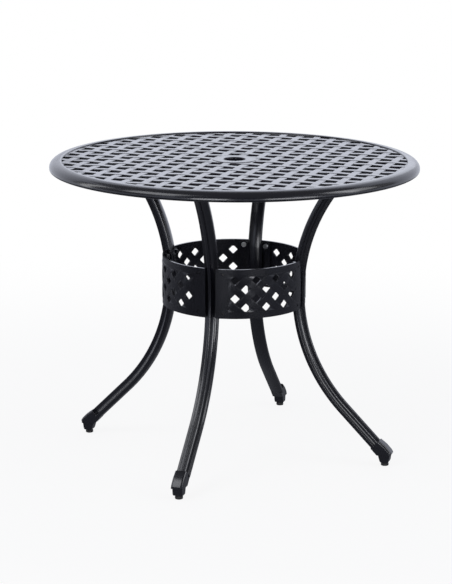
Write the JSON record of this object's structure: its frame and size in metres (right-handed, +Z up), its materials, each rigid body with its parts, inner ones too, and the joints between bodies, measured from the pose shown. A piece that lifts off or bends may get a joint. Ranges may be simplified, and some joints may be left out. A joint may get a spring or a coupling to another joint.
{
  "type": "umbrella table",
  "caption": "Round cast aluminium patio table with a woven lattice top, parasol hole, curved legs tied by a lattice ring, and screw-out levelling glides.",
  "frame": {"origin": "on the floor, on the table's vertical axis, level with the undersides of the glides", "axes": "+Z up along the table's axis; the legs stand along +X, +Y, -X and -Y, and the lattice's straps run along X and Y"},
  "size_m": [0.85, 0.85, 0.7],
  "materials": {
    "powder_coat": "satin black powder coat on cast aluminium",
    "zinc_plate": "bright zinc plate",
    "nylon": "moulded black nylon"
  },
  "bodies": {
    "table": {"table_top": "powder_coat", "leg_right": "powder_coat", "leg_top_plate_right": "powder_coat", "ring_bracket_right_1": "powder_coat", "ring_bracket_right_2": "powder_coat", "ring_panel_right_back": "powder_coat", "shoe_right": "powder_coat", "thread_insert_right": "zinc_plate", "ring_bolts_right": "zinc_plate", "ring_washers_right": "zinc_plate", "top_bolts_right": "zinc_plate", "top_washers_right": "zinc_plate", "leg_back": "powder_coat", "leg_top_plate_back": "powder_coat", "ring_bracket_back_1": "powder_coat", "ring_bracket_back_2": "powder_coat", "ring_panel_back_left": "powder_coat", "shoe_back": "powder_coat", "thread_insert_back": "zinc_plate", "ring_bolts_back": "zinc_plate", "ring_washers_back": "zinc_plate", "top_bolts_back": "zinc_plate", "top_washers_back": "zinc_plate", "leg_left": "powder_coat", "leg_top_plate_left": "powder_coat", "ring_bracket_left_1": "powder_coat", "ring_bracket_left_2": "powder_coat", "ring_panel_left_front": "powder_coat", "shoe_left": "powder_coat", "thread_insert_left": "zinc_plate", "ring_bolts_left": "zinc_plate", "ring_washers_left": "zinc_plate", "top_bolts_left": "zinc_plate", "top_washers_left": "zinc_plate", "leg_front": "powder_coat", "leg_top_plate_front": "powder_coat", "ring_bracket_front_1": "powder_coat", "ring_bracket_front_2": "powder_coat", "ring_panel_front_right": "powder_coat", "shoe_front": "powder_coat", "thread_insert_front": "zinc_plate", "ring_bolts_front": "zinc_plate", "ring_washers_front": "zinc_plate", "top_bolts_front": "zinc_plate", "top_washers_front": "zinc_plate"},
    "foot_right": {"levelling_stud_right": "zinc_plate", "glide_pad_right": "nylon"},
    "foot_back": {"levelling_stud_back": "zinc_plate", "glide_pad_back": "nylon"},
    "foot_left": {"levelling_stud_left": "zinc_plate", "glide_pad_left": "nylon"},
    "foot_front": {"levelling_stud_front": "zinc_plate", "glide_pad_front": "nylon"}
  },
  "joints": [
    {"name": "levelling_right", "type": "slide", "parent": "table", "child": "foot_right", "axis": [0, 0, -1], "range_m": [0, 0.008]},
    {"name": "levelling_back", "type": "slide", "parent": "table", "child": "foot_back", "axis": [0, 0, -1], "range_m": [0, 0.008]},
    {"name": "levelling_left", "type": "slide", "parent": "table", "child": "foot_left", "axis": [0, 0, -1], "range_m": [0, 0.008]},
    {"name": "levelling_front", "type": "slide", "parent": "table", "child": "foot_front", "axis": [0, 0, -1], "range_m": [0, 0.008]}
  ]
}
